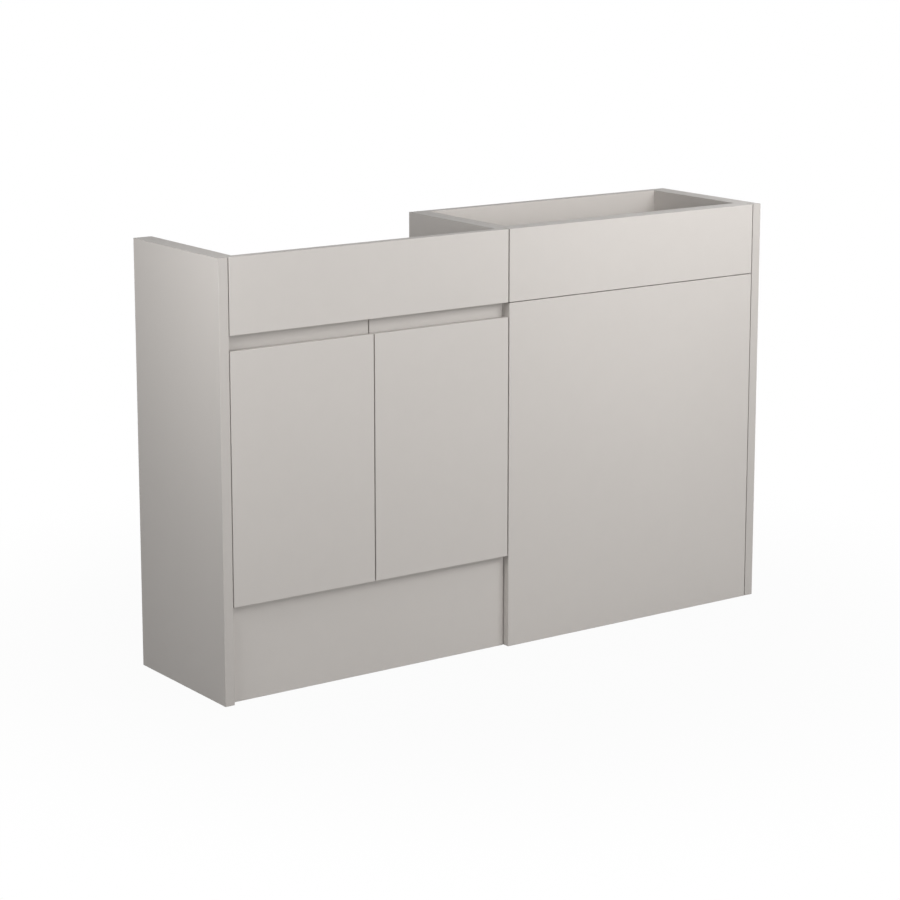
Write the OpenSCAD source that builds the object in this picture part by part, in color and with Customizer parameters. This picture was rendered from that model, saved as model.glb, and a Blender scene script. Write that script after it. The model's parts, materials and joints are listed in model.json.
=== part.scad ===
// Fitted bathroom run: an open-topped basin unit with two doors, and beside it a WC unit with two
// fascia panels, closed off by an end panel on each side. Doors and panels sit flush at the front.
// Millimetres. X runs to the right, Y into the wall, Z up. The origin is on the floor, in the
// middle of the run's width and depth.

/* [Overall] */
// Height of the run above the floor
body_h = 800; // [780:1:860]
// Depth from the front faces to the wall
body_d = 300; // [280:1:360]
// Width of the basin unit
basin_w = 600; // [500:1:700]
// Width of the WC unit
wc_w = 600; // [450:1:700]

/* [Boards] */
// Thickness of the carcass boards
board_t = 18; // [16:0.5:20]
// Thickness of the doors, the fascia and the WC panels
front_t = 18; // [18:0.5:22]
// Thickness of the end panels
end_t = 19; // [18:0.5:25]
// Thickness of the basin unit's back panel
back_t = 8; // [4:0.5:12]
// Thickness of the plinth board
plinth_t = 16; // [15:0.5:20]

/* [Fronts] */
// Height of the fascia and of the WC unit's upper panel
fascia_h = 137; // [120:1:150]
// Height of the finger slot between the fascia and the doors
slot_h = 27.5; // [22:0.5:36]
// Height of the doors' lower edge
door_z = 178; // [160:1:200]
// Gap between an end panel and the front beside it
end_gap = 2; // [2:0.1:3.5]
// Gap between two neighbouring fronts
front_gap = 2.6; // [2.6:0.1:5]
// Gap between the WC unit's lower and upper panels
access_gap = 1.5; // [1:0.1:4]
// Gap between the doors' backs and the carcass
standoff = 1.5; // [1.4:0.1:2.5]
// How far the plinth stands behind the front faces
plinth_in = 14; // [8:1:30]
// Gap between the plinth and the doors above it
plinth_gap = 2; // [1:0.5:5]
// Gap between the plinth's ends and the boards beside them
plinth_side_gap = 0.5; // [0.3:0.1:1]

/* [Finger pull] */
// Thickness of the strip behind each door's upper edge
strip_t = 15; // [12:0.5:18]
// How far the strip overlaps the back of the door
strip_lap = 37; // [30:1:45]
// Gap between the strip and the fascia
strip_gap = 2.5; // [2:0.5:5]
// Width of the groove that the fingertips hook into
groove_w = 8; // [6:0.5:9]
// Depth of that groove below the door's upper edge
groove_d = 12; // [8:0.5:16]

/* [Rails and back] */
// Height of the basin unit's front rail
basin_rail_h = 105; // [90:1:110]
// Height of the rails at the wall
rear_rail_h = 100; // [80:1:120]
// How far the basin unit's back panel ends below the fascia
back_drop = 43; // [30:1:80]
// Depth of the space for pipes behind the back panel
service_d = 60; // [50:1:80]
// Depth of the grooves that hold the back panel
slot_d = 6; // [4:0.5:8]
// Height of the WC unit's upper front rail
wc_top_rail_h = 70; // [60:1:76]
// Height of the WC unit's other front rails
wc_rail_h = 80; // [70:1:90]
// How far the middle rail rises behind the upper panel
rail_lap = 40; // [35:1:45]
// Height of the underside of the WC unit's bottom front rail
bottom_rail_z = 20; // [10:1:60]
// Height of the underside of the WC unit's lower rear rail
low_rail_z = 120; // [80:1:200]

/* [Hinges] */
// Distance of the hinges from the ends of the door
hinge_in = 80; // [75:1:100]
// Diameter of the hinge cup
cup_d = 35; // [34:0.5:36]
// Depth of the cup in the door
cup_depth = 12; // [11.5:0.1:12.5]
// Distance from the edge of the door to the cup
cup_edge = 5; // [4.5:0.1:5.5]
// Wall of the pressed cup
cup_wall = 0.9; // [0.6:0.1:1]
// Thickness of the cup's flange
flange_t = 1.2; // [0.8:0.1:1.2]
// Height of the cup's flange
flange_h = 64; // [60:1:70]
// Width of the cup's flange
flange_w = 21; // [18:0.5:24]
// Radius of the hinge pins
pin_r = 2; // [1.6:0.1:2.2]
// Running clearance round the hinge pins
pin_fit = 0.05; // [0.03:0.01:0.1]
// Distance of the arm's pin from the edge of the door
arm_pin_in = 38.5; // [38:0.1:39.5]
// Distance of the arm's pin behind the carcass edge
arm_pin_back = 14.5; // [14:0.1:15.5]
// Distance of the cup's pin from the rim of the cup
cup_pin_in = 6.5; // [6:0.1:7]
// Depth of the cup's pin below the back of the door
cup_pin_down = 4.5; // [4:0.1:5]
// Distance of the link's bend from the rim of the cup
bend_in = 14.5; // [13:0.1:16]
// Depth of the link's bend below the back of the door
bend_down = 8; // [7:0.1:8.5]
// Width of the bent link
link_w = 12; // [10:0.5:13]
// Thickness of the bent link
link_t = 3; // [2:0.5:3]
// Metal round the pins in the link's eyes
eye_wall = 1.5; // [1.2:0.1:1.7]
// Metal round the pin in the link's eye inside the cup
cup_eye_wall = 1.1; // [0.9:0.1:1.2]
// Sheet thickness of the hinge arm
arm_t = 1.5; // [1.2:0.1:2]
// Gap between the link and the sides of the arm
arm_gap = 2; // [1:0.1:3]
// Distance from the open edge of the arm to its pin
arm_drop = 12.5; // [11:0.1:13]
// Distance of the arm's end behind the carcass edge
arm_l = 80; // [76:1:90]
// Distance of the mounting plate behind the carcass edge
plate_in = 20; // [16:1:24]
// Length of the mounting plate
plate_l = 54; // [50:1:56]
// Distance of the system screws behind the carcass edge
system_in = 37; // [34:1:40]
// Distance between a mounting plate's two screws
system_pitch = 32; // [30:1:34]

/* [Legs] */
// Diameter of a leg's stem
stem_d = 30; // [24:1:32]
// Diameter of a foot
foot_d = 50; // [44:1:56]
// Height of a foot's pad
foot_h = 8; // [5:0.5:12]
// Wall of the leg socket
socket_wall = 2.7; // [2:0.1:4]
// Height of the leg socket's lower end
socket_z = 60; // [40:1:80]
// Radius of the leg socket's flange
flange_r = 30; // [28:1:34]
// Thickness of the leg socket's flange
socket_flange_t = 5; // [4:0.5:8]
// Running clearance round the stem
stem_fit = 0.3; // [0.2:0.05:0.5]
// Room above the stem for setting the foot
stem_room = 20; // [16:1:30]
// Distance of the legs from the sides of the unit
leg_in = 62; // [55:1:90]
// Distance of the front legs behind the doors
leg_back = 57; // [54:1:70]
// Distance of the rear legs in front of the back panel's space
leg_fore = 42; // [36:1:60]
// How far a fork reaches past the middle of its leg
fork_reach = 4; // [0:1:8]
// Height of a fork's underside
fork_z = 92; // [80:1:110]
// Height of a fork
fork_h = 26; // [16:1:40]
// Thickness of a fork's back
fork_base = 4; // [3:0.5:6]
// Thickness of a fork's prongs
fork_prong = 3; // [2:0.5:5]
// Gap between a fork and its leg
fork_fit = 0.3; // [0.2:0.1:0.5]

/* [Fixings] */
// Radius of the screw shanks
screw_r = 2; // [1.5:0.1:2.5]
// Radius of the screw heads
head_r = 4; // [3.5:0.1:4.5]
// Height of the screw heads
head_h = 2; // [1.5:0.1:2.5]
// Width of the cross in a screw head
cross_w = 1; // [0.6:0.1:1.4]
// Gap between a screw and its hole
screw_fit = 0.1; // [0.05:0.05:0.2]
// Depth that a screw goes into the second board
bite = 11; // [8:0.5:12]
// Radius of the holes for wall screws
wall_hole_r = 3.5; // [2.5:0.1:4]
// Distance between the wall screws of one rail
wall_pitch = 400; // [300:10:420]
// Radius of the panel clip's stud
stud_r = 5; // [4:0.1:5.5]
// Length of the panel clip's stud
stud_l = 12; // [10:0.5:12.5]
// Gap between a clip's stud and its socket
stud_fit = 0.25; // [0.1:0.05:0.4]
// Wall of the panel clip's socket
ring_wall = 2.75; // [2:0.25:3]
// Depth of the panel clip's socket
ring_h = 13; // [12.5:0.5:15]
// Distance of the clips from the ends of the panel
clip_in = 90; // [70:5:120]
// Radius of the cam housings
cam_r = 7.5; // [6:0.5:8]
// Depth of the cam housings
cam_h = 12.5; // [11.5:0.5:13]
// Depth of the slots in a cam's face
cam_slot = 1.5; // [1:0.5:2]
// Distance of the cams from the ends of a rail
cam_in = 34; // [28:1:40]
// Radius of the cam bolts
cam_bolt_r = 3; // [2.5:0.1:3.5]
// Depth of the cam bolts in the sides
cam_bite = 10; // [8:0.5:12]
// Radius of the bolts that join the two units
joiner_r = 4; // [3:0.1:5]
// Radius of those bolts' heads
joiner_head_r = 7.5; // [6:0.5:9]
// Length of a wall bracket's two legs
bracket_l = 40; // [36:1:45]
// Thickness of the wall brackets
bracket_t = 2; // [1.5:0.1:3]
// Height of the wall brackets' undersides
bracket_z = 320; // [280:5:340]
// Distance of a bracket's screws from its ends
bracket_in = 10; // [9:0.5:12]
// Distance of the side screws and joining bolts from the ends of a side
fix_in = 60; // [55:1:70]
// Distance of the rear fixings from the wall
fix_back = 35; // [30:1:40]
// Distance of the front fixings behind the carcass edge
fix_fore = 110; // [100:1:120]
// Distance of the door bumpers from the sides of the door
bumper_in = 24; // [20:1:30]

/* [Hidden] */
$fn = 48;
body_w = basin_w + wc_w + 2 * end_t;
x_left = -body_w / 2;
x_basin = x_left + end_t;
x_seam = x_basin + basin_w;
x_end = x_seam + wc_w;
x_right = x_end + end_t;
y_front = -body_d / 2;
y_back = y_front + front_t;
y_carc = y_back + standoff;
y_wall = body_d / 2;
y_void = y_wall - service_d;
y_rail = y_back + board_t;
fascia_z = body_h - fascia_h;
back_top = fascia_z - back_drop;
door_h = fascia_z - slot_h - door_z;
door_top = door_z + door_h;
door_w = (basin_w - end_gap - front_gap * 1.5) / 2;
strip_z = door_top - strip_lap;
strip_top = fascia_z - strip_gap;
notch_gap = 2;
tip_gap = 1;
mid_rail_z = fascia_z + rail_lap - wc_rail_h;
panel_x0 = x_seam + front_gap / 2;
panel_x1 = x_end - end_gap;
basin_mid = (x_basin + x_seam) / 2;
wc_mid = (x_seam + x_end) / 2;

// Hinge points, from the hinge edge of the door and from its front face
edge_y = front_t + standoff;
arm_pin = [arm_pin_in, edge_y + arm_pin_back];
cup_pin = [cup_edge + cup_pin_in, front_t - cup_pin_down];
link_bend = [cup_edge + bend_in, front_t - bend_down];
cup_x = cup_edge + cup_d / 2;
cup_pin_half = sqrt(pow((cup_d - cup_wall) / 2, 2) - pow(cup_x - cup_pin[0] + pin_r, 2));
hinge_zs = [door_z + hinge_in, door_top - hinge_in];
eye_r = pin_r + eye_wall;
arm_half = link_w / 2 + arm_gap;
arm_x0 = arm_pin[0] - arm_drop;
arm_x1 = arm_pin[0] + eye_r + arm_t + screw_fit * 5;
arm_y1 = edge_y + arm_l;
plate_y0 = edge_y + plate_in;
plate_y1 = plate_y0 + plate_l;
system_y = edge_y + system_in;
system_z = system_pitch / 2;
wing_t = head_h * 1.5;
face_left = board_t - end_gap;
face_right = board_t - front_gap / 2;
cup_screw_z = cup_d / 2 + head_r + 3.5;
cup_screw_x = cup_x + flange_w / 2 - head_r - 0.5;

// Where the small fixings go
leg_ys = [y_back + leg_back, y_void - leg_fore];
leg_xs = [x_basin + leg_in, x_seam - leg_in];
socket_r = stem_d / 2 + stem_fit + socket_wall;
flange_screw_r = (socket_r + flange_r) / 2;
stem_top = door_z - stem_room;
ring_r = stud_r + stud_fit + ring_wall;
clip_xs = [panel_x0 + clip_in, panel_x1 - clip_in];
clip_zs = [mid_rail_z + wc_rail_h - 2 * ring_r - 2, body_h - 4 * ring_r + 2];
fascia_screw_xs = [for (i = [0:3]) x_basin + basin_w * (0.14 + 0.24 * i)];
wc_screw_xs = [x_seam + wc_w * 0.25, x_seam + wc_w * 0.75];
wc_screw_zs = [bottom_rail_z + wc_rail_h / 2, mid_rail_z + 3 * head_r];
side_screw_ys = [y_carc + fix_fore, y_wall - fix_back];
left_screw_zs = [door_z + fix_in, body_h - 1.5 * fix_in];
right_screw_zs = [fix_in, body_h - 1.5 * fix_in];
bracket_top = bracket_z + bracket_l;
bracket_dzs = [bracket_in, bracket_l - bracket_in];
bracket_screw_y = y_wall - bracket_l + bracket_in;
// Middles of the cam bolts as [y, z]: front rail, rear rail and base panel of the basin unit
basin_bolts = [[y_rail - board_t / 2, fascia_z + basin_rail_h / 2],
    [y_wall - board_t / 2, back_top + rear_rail_h / 2],
    [y_carc + fix_in, door_z + board_t / 2],
    [y_void - back_t - fix_in, door_z + board_t / 2]];
// The same for the WC unit: three front rails, then two rear rails
wc_bolts = [[y_rail - board_t / 2, body_h - wc_top_rail_h / 2],
    [y_rail - board_t / 2, mid_rail_z + wc_rail_h / 2],
    [y_rail - board_t / 2, bottom_rail_z + wc_rail_h / 2],
    [y_wall - board_t / 2, body_h - rear_rail_h / 2],
    [y_wall - board_t / 2, low_rail_z + rear_rail_h / 2]];

panel_col = "#c8c3bc";
steel_col = "#b9bcc0";
plastic_col = "#4a4b4d";

// A board between two corners
module board(x0, x1, y0, y1, z0, z1) {
    translate([x0, y0, z0])
        cube([x1 - x0, y1 - y0, z1 - z0]);
}

// A round bar along X, Y or Z, from a point and for a length
module bar_x(p, r, l) {
    translate(p)
        rotate([0, 90, 0])
            cylinder(r = r, h = l);
}
module bar_y(p, r, l) {
    translate(p)
        rotate([-90, 0, 0])
            cylinder(r = r, h = l);
}
module bar_z(p, r, l) {
    translate(p)
        cylinder(r = r, h = l);
}

// The two crossed slots of a head, upward from a height
module cross_slots(reach, half_w, z0, z1) {
    board(-reach, reach, -half_w, half_w, z0, z1);
    board(-half_w, half_w, -reach, reach, z0, z1);
}
// A screw with its head's underside at a point, going in along an axis
module screw(l) {
    difference() {
        union() {
            cylinder(r = screw_r, h = l);
            translate([0, 0, -head_h])
                cylinder(r = head_r, h = head_h);
        }
        cross_slots(head_r * 0.6, cross_w / 2, -head_h - 1, -head_h / 2);
    }
}
module screw_along(p, dir, l) {
    turn = dir == "+x" ? [0, 90, 0] : dir == "-x" ? [0, -90, 0]
        : dir == "+y" ? [-90, 0, 0] : dir == "-y" ? [90, 0, 0] : [0, 0, 0];
    translate(p)
        rotate(turn)
            screw(l);
}
module hole_x(p, l) {
    bar_x(p, screw_r + screw_fit, l);
}
module hole_y(p, l) {
    bar_y(p, screw_r + screw_fit, l);
}
module hole_z(p, l) {
    bar_z(p, screw_r + screw_fit, l);
}

// The two sides' end panels
module end_holes(x0, zs) {
    for (y = side_screw_ys, z = zs)
        hole_x([x0, y, z], bite + 1);
}
module left_end_panel() {
    color(panel_col) difference() {
        board(x_left, x_basin, y_front, y_wall, 0, body_h);
        end_holes(x_basin - bite - 1, left_screw_zs);
    }
}
module right_end_panel() {
    color(panel_col) difference() {
        board(x_end, x_right, y_front, y_wall, 0, body_h);
        end_holes(x_end, right_screw_zs);
    }
}

// Holes through a carcass side, for what is screwed to it
module through_side(x0, ys, zs) {
    for (y = ys, z = zs)
        hole_x([x0 - 1, y, z], board_t + 2);
}
// Blind holes in the inner face of a side, for the mounting plates' screws
module plate_holes(x0) {
    for (z = hinge_zs, s = [-1, 1])
        hole_x([x0, y_front + system_y, z + s * system_z], bite);
}
// Room for the finger strip in the front edge of a basin side
module strip_notch(x0) {
    board(x0 - 1, x0 + board_t + 1, y_front, y_back + strip_t + notch_gap,
        strip_z - notch_gap, fascia_z);
}
// Groove for the back panel, cut into the inner face at x
module back_groove(x0) {
    board(x0, x0 + slot_d, y_void - back_t - screw_fit, y_void + screw_fit,
        door_z + board_t, back_top + notch_gap);
}
// Sockets for the cam bolts in a side, with the bolt's axis along X
module bolt_holes(x0, l, ps) {
    for (p = ps)
        bar_x([x0, p[0], p[1]], cam_bolt_r + screw_fit, l);
}

module basin_side_left() {
    inner = x_basin + board_t;
    color(panel_col) difference() {
        board(x_basin, inner, y_carc, y_wall, door_z, body_h);
        strip_notch(x_basin);
        back_groove(inner - slot_d);
        plate_holes(inner - bite);
        through_side(x_basin, side_screw_ys, left_screw_zs);
        bolt_holes(inner - cam_bite, cam_bite + 1, basin_bolts);
        bracket_holes_side(inner - bite);
    }
}
module basin_side_right() {
    inner = x_seam - board_t;
    color(panel_col) difference() {
        board(inner, x_seam, y_carc, y_wall, door_z, body_h);
        strip_notch(inner);
        back_groove(inner);
        plate_holes(inner);
        bolt_holes(inner - 1, cam_bite + 1, basin_bolts);
        joiner_holes(inner);
        bracket_holes_side(inner);
    }
}
module wc_side_left() {
    inner = x_seam + board_t;
    color(panel_col) difference() {
        board(x_seam, inner, y_back, y_wall, 0, body_h);
        bolt_holes(inner - cam_bite, cam_bite + 1, wc_bolts);
        joiner_holes(x_seam);
        bracket_holes_side(inner - bite);
    }
}
module wc_side_right() {
    inner = x_end - board_t;
    color(panel_col) difference() {
        board(inner, x_end, y_back, y_wall, 0, body_h);
        through_side(inner, side_screw_ys, right_screw_zs);
        bolt_holes(inner - 1, cam_bite + 1, wc_bolts);
        bracket_holes_side(inner);
    }
}

// Boards of the basin unit
module basin_base_panel() {
    color(panel_col) difference() {
        board(x_basin + board_t, x_seam - board_t, y_carc, y_void, door_z, door_z + board_t);
        for (x = leg_xs, y = leg_ys, a = [45:90:315])
            hole_z([x + flange_screw_r * cos(a), y + flange_screw_r * sin(a), door_z - 1], bite + 1);
        for (p = [basin_bolts[2], basin_bolts[3]]) {
            bar_x([x_basin + board_t - 1, p[0], p[1]], cam_bolt_r + screw_fit, cam_in + 1);
            bar_x([x_seam - board_t - cam_in, p[0], p[1]], cam_bolt_r + screw_fit, cam_in + 1);
            for (x = [x_basin + board_t + cam_in, x_seam - board_t - cam_in])
                bar_z([x, p[0], door_z - 1], cam_r + screw_fit, cam_h + 1);
        }
    }
}
// A rail between the sides, with cam housings let into one face
module rail(x0, x1, y0, z0, h, side) {
    yc = y0 + board_t / 2;
    zc = z0 + h / 2;
    difference() {
        board(x0, x1, y0, y0 + board_t, z0, z0 + h);
        bar_x([x0 - 1, yc, zc], cam_bolt_r + screw_fit, cam_in + 1);
        bar_x([x1 - cam_in, yc, zc], cam_bolt_r + screw_fit, cam_in + 1);
        for (x = [x0 + cam_in, x1 - cam_in])
            bar_y([x, side == "back" ? y0 + board_t - cam_h : y0 - 1, zc], cam_r + screw_fit, cam_h + 1);
    }
}
module wall_holes(xc, zc) {
    for (s = [-1, 1])
        bar_y([xc + s * wall_pitch / 2, y_wall - board_t - 1, zc], wall_hole_r, board_t + 2);
}
module basin_front_rail() {
    color(panel_col) difference() {
        rail(x_basin + board_t, x_seam - board_t, y_back, fascia_z, basin_rail_h, "back");
        for (x = fascia_screw_xs)
            hole_y([x, y_back - 1, fascia_z + basin_rail_h / 2], board_t + 2);
    }
}
module basin_rear_rail() {
    color(panel_col) difference() {
        rail(x_basin + board_t, x_seam - board_t, y_wall - board_t, back_top, rear_rail_h, "front");
        wall_holes(basin_mid, back_top + rear_rail_h / 2);
    }
}
module basin_back_panel() {
    reach = slot_d - screw_fit;
    color(panel_col)
        board(x_basin + board_t - reach, x_seam - board_t + reach, y_void - back_t, y_void,
            door_z + board_t, back_top);
}
module basin_fascia() {
    color(panel_col) difference() {
        board(x_basin + end_gap, x_seam - front_gap / 2, y_front, y_back, fascia_z, body_h);
        for (x = fascia_screw_xs)
            hole_y([x, y_back - bite, fascia_z + basin_rail_h / 2], bite + 1);
    }
}
module fascia_screws() {
    color(steel_col)
        for (x = fascia_screw_xs)
            screw_along([x, y_rail, fascia_z + basin_rail_h / 2], "-y", board_t + bite - tip_gap);
}

// Boards of the WC unit
module clip_holes() {
    for (x = clip_xs, z = clip_zs)
        bar_y([x, y_back - 1, z], ring_r + screw_fit, ring_h + 1);
}
module wc_front_top_rail() {
    color(panel_col) difference() {
        rail(x_seam + board_t, x_end - board_t, y_back, body_h - wc_top_rail_h, wc_top_rail_h, "back");
        clip_holes();
    }
}
module wc_mid_rail() {
    color(panel_col) difference() {
        rail(x_seam + board_t, x_end - board_t, y_back, mid_rail_z, wc_rail_h, "back");
        clip_holes();
        wc_screw_holes(y_back - 1, board_t + 2);
    }
}
module wc_bottom_rail() {
    color(panel_col) difference() {
        rail(x_seam + board_t, x_end - board_t, y_back, bottom_rail_z, wc_rail_h, "back");
        wc_screw_holes(y_back - 1, board_t + 2);
    }
}
module wc_rear_top_rail() {
    color(panel_col) difference() {
        rail(x_seam + board_t, x_end - board_t, y_wall - board_t, body_h - rear_rail_h, rear_rail_h,
            "front");
        wall_holes(wc_mid, body_h - rear_rail_h / 2);
    }
}
module wc_rear_lower_rail() {
    color(panel_col) difference() {
        rail(x_seam + board_t, x_end - board_t, y_wall - board_t, low_rail_z, rear_rail_h, "front");
        wall_holes(wc_mid, low_rail_z + rear_rail_h / 2);
    }
}
module wc_screw_holes(y0, l) {
    for (x = wc_screw_xs, z = wc_screw_zs)
        hole_y([x, y0, z], l);
}
module wc_front_panel() {
    color(panel_col) difference() {
        board(panel_x0, panel_x1, y_front, y_back, 0, fascia_z - access_gap);
        wc_screw_holes(y_back - bite, bite + 1);
    }
}
module wc_panel_screws() {
    color(steel_col)
        for (x = wc_screw_xs, z = wc_screw_zs)
            screw_along([x, y_rail, z], "-y", board_t + bite - tip_gap);
}
module wc_access_panel() {
    color(panel_col) difference() {
        board(panel_x0, panel_x1, y_front, y_back, fascia_z, body_h);
        for (x = clip_xs, z = clip_zs)
            hole_y([x, y_back - bite, z], bite + 1);
    }
}
module panel_clip_sockets() {
    color(plastic_col)
        for (x = clip_xs, z = clip_zs)
            difference() {
                bar_y([x, y_back, z], ring_r, ring_h);
                bar_y([x, y_back - 1, z], stud_r + stud_fit, ring_h + 2);
            }
}
module panel_clip_studs() {
    color(plastic_col)
        for (x = clip_xs, z = clip_zs)
            union() {
                bar_y([x, y_back, z], stud_r, stud_l);
                bar_y([x, y_back - bite + tip_gap, z], screw_r, bite);
            }
}

// Fixings of the carcass: a cam housing with its slotted face down, bored for its bolt along X
module cam_lock() {
    difference() {
        bar_z([0, 0, 0], cam_r, cam_h);
        cross_slots(cam_r * 0.6, cross_w, -1, cam_slot);
        bar_x([-cam_r - 1, 0, board_t / 2], cam_bolt_r + screw_fit, 2 * cam_r + 2);
    }
}
// Two of them in a board between x0 and x1, turned so that the slotted face looks the given way
module cam_pair(x0, x1, y, z, turn) {
    for (x = [x0 + board_t + cam_in, x1 - board_t - cam_in])
        translate([x, y, z])
            rotate([turn, 0, 0])
                cam_lock();
}
module cam_locks() {
    color(steel_col) {
        cam_pair(x_basin, x_seam, y_rail, basin_bolts[0][1], 90);
        cam_pair(x_basin, x_seam, y_wall - board_t, basin_bolts[1][1], -90);
        for (i = [0:2])
            cam_pair(x_seam, x_end, y_rail, wc_bolts[i][1], 90);
        for (i = [3:4])
            cam_pair(x_seam, x_end, y_wall - board_t, wc_bolts[i][1], -90);
        for (i = [2:3])
            cam_pair(x_basin, x_seam, basin_bolts[i][0], door_z, 0);
    }
}
module cam_bolts() {
    l = cam_in + cam_bite - tip_gap;
    color(steel_col) {
        for (p = basin_bolts) {
            bar_x([x_basin + board_t - cam_bite + tip_gap, p[0], p[1]], cam_bolt_r, l);
            bar_x([x_seam - board_t - cam_in, p[0], p[1]], cam_bolt_r, l);
        }
        for (p = wc_bolts) {
            bar_x([x_seam + board_t - cam_bite + tip_gap, p[0], p[1]], cam_bolt_r, l);
            bar_x([x_end - board_t - cam_in, p[0], p[1]], cam_bolt_r, l);
        }
    }
}
module joiner_holes(x0) {
    for (y = side_screw_ys, z = left_screw_zs)
        bar_x([x0 - 1, y, z], joiner_r + screw_fit, board_t + 2);
}
module unit_connector_bolts() {
    color(steel_col)
        for (y = side_screw_ys, z = left_screw_zs)
            difference() {
                union() {
                    bar_x([x_seam - board_t, y, z], joiner_r, 2 * board_t);
                    bar_x([x_seam - board_t - head_h, y, z], joiner_head_r, head_h);
                    bar_x([x_seam + board_t, y, z], joiner_head_r, head_h);
                }
                for (x = [x_seam - board_t - head_h, x_seam + board_t + head_h])
                    board(x - head_h / 2, x + head_h / 2, y - joiner_r, y + joiner_r,
                        z - cross_w, z + cross_w);
            }
}
module end_panel_screws() {
    color(steel_col) {
        for (y = side_screw_ys, z = left_screw_zs)
            screw_along([x_basin + board_t, y, z], "-x", board_t + bite);
        for (y = side_screw_ys, z = right_screw_zs)
            screw_along([x_end - board_t, y, z], "+x", board_t + bite);
    }
}
bracket_xs = [[x_basin + board_t, 1], [x_seam - board_t, -1], [x_seam + board_t, 1],
    [x_end - board_t, -1]];
module bracket_holes_side(x0) {
    for (dz = bracket_dzs)
        hole_x([x0, bracket_screw_y, bracket_z + dz], bite);
}
module wall_brackets() {
    color(steel_col)
        for (b = bracket_xs)
            translate([b[0], 0, 0])
                mirror([b[1] < 0 ? 1 : 0, 0, 0])
                    difference() {
                        union() {
                            board(0, bracket_t, y_wall - bracket_l, y_wall, bracket_z, bracket_top);
                            board(0, bracket_l, y_wall - bracket_t, y_wall, bracket_z, bracket_top);
                        }
                        for (dz = bracket_dzs)
                            hole_x([-1, bracket_screw_y, bracket_z + dz], bracket_t + 2);
                        bar_y([bracket_l - bracket_in, y_wall - bracket_t - 1,
                            (bracket_z + bracket_top) / 2], wall_hole_r, bracket_t + 2);
                    }
}
module bracket_screws() {
    color(steel_col)
        for (b = bracket_xs, dz = bracket_dzs)
            screw_along([b[0] + b[1] * bracket_t, bracket_screw_y, bracket_z + dz],
                b[1] > 0 ? "-x" : "+x", bite);
}

// Legs of the basin unit
module leg_sockets() {
    color(plastic_col)
        for (x = leg_xs, y = leg_ys)
            translate([x, y, 0])
                difference() {
                    union() {
                        bar_z([0, 0, door_z - socket_flange_t], flange_r, socket_flange_t);
                        bar_z([0, 0, socket_z], socket_r, door_z - socket_z);
                    }
                    bar_z([0, 0, socket_z - 1], stem_d / 2 + stem_fit,
                        door_z - socket_flange_t - socket_z + 1);
                    for (a = [45:90:315])
                        hole_z([flange_screw_r * cos(a), flange_screw_r * sin(a),
                            door_z - socket_flange_t - 1], socket_flange_t + 2);
                }
}
module leg_socket_screws() {
    color(steel_col)
        for (x = leg_xs, y = leg_ys, a = [45:90:315])
            screw_along([x + flange_screw_r * cos(a), y + flange_screw_r * sin(a),
                door_z - socket_flange_t], "+z", socket_flange_t + bite - tip_gap);
}
module foot(x, y) {
    color(plastic_col)
        translate([x, y, 0])
            union() {
                bar_z([0, 0, 0], foot_d / 2, foot_h);
                bar_z([0, 0, 0], stem_d / 2, stem_top);
            }
}
module foot_front_left() {
    foot(leg_xs[0], leg_ys[0]);
}
module foot_front_right() {
    foot(leg_xs[1], leg_ys[0]);
}
module foot_rear_left() {
    foot(leg_xs[0], leg_ys[1]);
}
module foot_rear_right() {
    foot(leg_xs[1], leg_ys[1]);
}
plinth_y = y_front + plinth_in;
module plinth_board() {
    color(panel_col)
        board(x_basin + plinth_side_gap, x_seam - plinth_side_gap, plinth_y, plinth_y + plinth_t, 0,
            door_z - plinth_gap);
}
// Forks behind the plinth that slip over the front legs
module plinth_clips() {
    y0 = plinth_y + plinth_t;
    inner = socket_r + fork_fit;
    color(plastic_col)
        for (x = leg_xs) {
            difference() {
                board(x - inner - fork_prong, x + inner + fork_prong, y0, leg_ys[0] + fork_reach, fork_z,
                    fork_z + fork_h);
                board(x - inner, x + inner, y0 + fork_base, leg_ys[0] + fork_reach + 1, fork_z - 1,
                    fork_z + fork_h + 1);
            }
        }
}

// Hinges and doors, each drawn for the left door and mirrored for the right one
module at_left() {
    translate([x_basin + end_gap, y_front, 0])
        children();
}
module at_right() {
    translate([x_seam - front_gap / 2, y_front, 0])
        mirror([1, 0, 0])
            children();
}
module hinge_plates(face) {
    for (z = hinge_zs)
        difference() {
            union() {
                board(face, arm_x0, plate_y0, plate_y1, z - arm_half - arm_t, z + arm_half + arm_t);
                board(face, face + wing_t, system_y - 1.5 * head_r, system_y + 1.5 * head_r,
                    z - system_z - 2 * head_r, z + system_z + 2 * head_r);
            }
            for (s = [-1, 1])
                hole_x([face - 1, system_y, z + s * system_z], wing_t + 2);
        }
}
module left_hinge_plates() {
    color(steel_col) at_left() hinge_plates(face_left);
}
module right_hinge_plates() {
    color(steel_col) at_right() hinge_plates(face_right);
}
module plate_screws(face) {
    for (z = hinge_zs, s = [-1, 1])
        screw_along([face + wing_t, system_y, z + s * system_z], "-x", bite + 2);
}
module hinge_plate_screws() {
    color(steel_col) {
        at_left() plate_screws(face_left);
        at_right() plate_screws(face_right);
    }
}
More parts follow.
